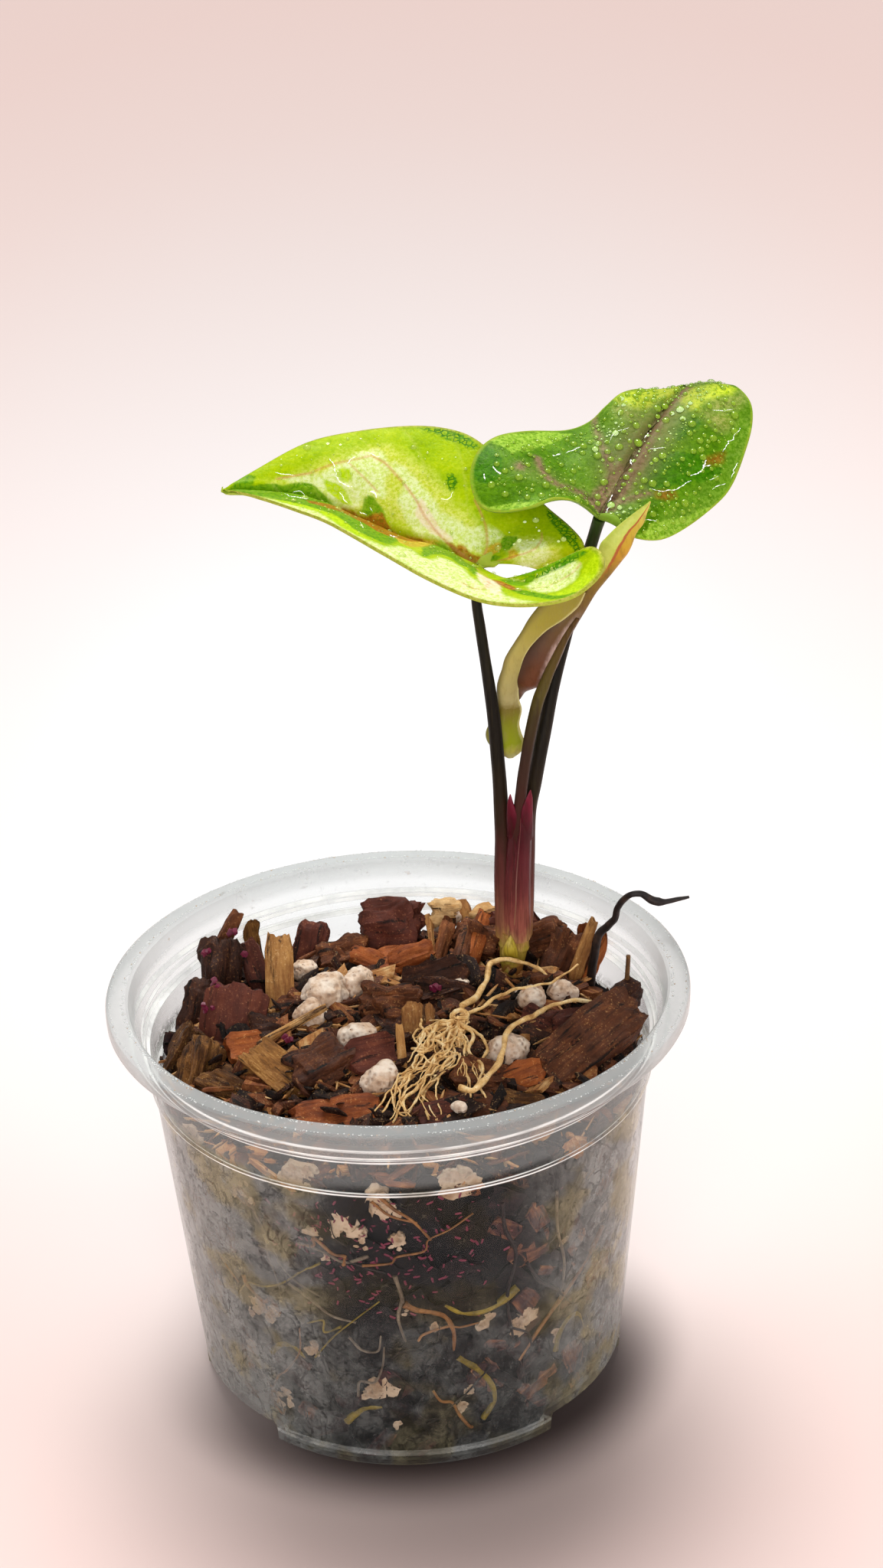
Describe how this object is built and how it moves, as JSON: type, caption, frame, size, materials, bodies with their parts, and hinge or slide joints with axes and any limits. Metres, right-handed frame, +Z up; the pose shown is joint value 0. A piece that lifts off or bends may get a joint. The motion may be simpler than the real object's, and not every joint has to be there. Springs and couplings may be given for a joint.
{
  "type": "arrowhead plant in clear pot",
  "caption": "Young arrowhead plant with variegated arrow-shaped leaves and a furled new leaf, rooted in bark and pumice mix in a clear round nursery pot.",
  "frame": {"origin": "centre of the pot's base, on the face that it rests on", "axes": "+Z up; -Y is the side that the picture was taken from; +X to the right there"},
  "size_m": [0.1383, 0.137, 0.1936],
  "materials": {
    "pot": "clear, slightly milky moulded plastic, glossy",
    "potting_mix": "damp fine bark, matt",
    "stem": "living plant tissue, satin",
    "sheath": "living plant tissue, crimson, satin",
    "petiole_left": "living plant tissue, near black, satin",
    "petiole_right": "living plant tissue, near black green, satin",
    "petiole_new": "living plant tissue, mauve brown, satin",
    "leaf_left": "living leaf, lime, cream and green variegation, waxy",
    "leaf_right": "living leaf, green with brown midrib, waxy and wet",
    "leaf_new": "furled young leaf, cream and mauve, satin",
    "dry_roots": "dry golden roots, matt",
    "root_loop": "dry golden root, matt",
    "root_right": "dry golden root, matt",
    "dark_twig": "dead shrivelled shoot, matt",
    "dead_stalk": "dead shrivelled shoot, matt",
    "wood_splinter": "split tan wood, matt",
    "bark_disc": "maroon bark, matt",
    "bark_dark_left": "dark bark, matt",
    "bark_block": "dark bark, matt",
    "bark_back": "dark red bark, matt",
    "bark_orange": "orange brown bark, matt",
    "bark_front": "brick red bark, matt",
    "bark_tan_front": "tan bark, matt",
    "bark_slab": "red brown bark, matt",
    "bark_right_back": "red brown bark, matt",
    "pumice": "rough cream pumice stone, matt"
  },
  "bodies": {
    "root": {"pot": "pot", "potting_mix": "potting_mix", "stem": "stem", "sheath": "sheath", "petiole_left": "petiole_left", "petiole_right": "petiole_right", "petiole_new": "petiole_new", "leaf_left": "leaf_left", "leaf_right": "leaf_right", "leaf_new": "leaf_new", "dry_roots": "dry_roots", "root_loop": "root_loop", "root_right": "root_right", "dark_twig": "dark_twig", "dead_stalk": "dead_stalk", "wood_splinter": "wood_splinter", "bark_disc": "bark_disc", "bark_dark_left": "bark_dark_left", "bark_block": "bark_block", "bark_back": "bark_back", "bark_orange": "bark_orange", "bark_front": "bark_front", "bark_tan_front": "bark_tan_front", "bark_slab": "bark_slab", "bark_right_back": "bark_right_back", "pumice_01": "pumice", "pumice_02": "pumice", "pumice_03": "pumice", "pumice_04": "pumice", "pumice_05": "pumice", "pumice_06": "pumice", "pumice_07": "pumice", "pumice_08": "pumice", "pumice_09": "pumice"}
  },
  "joints": []
}
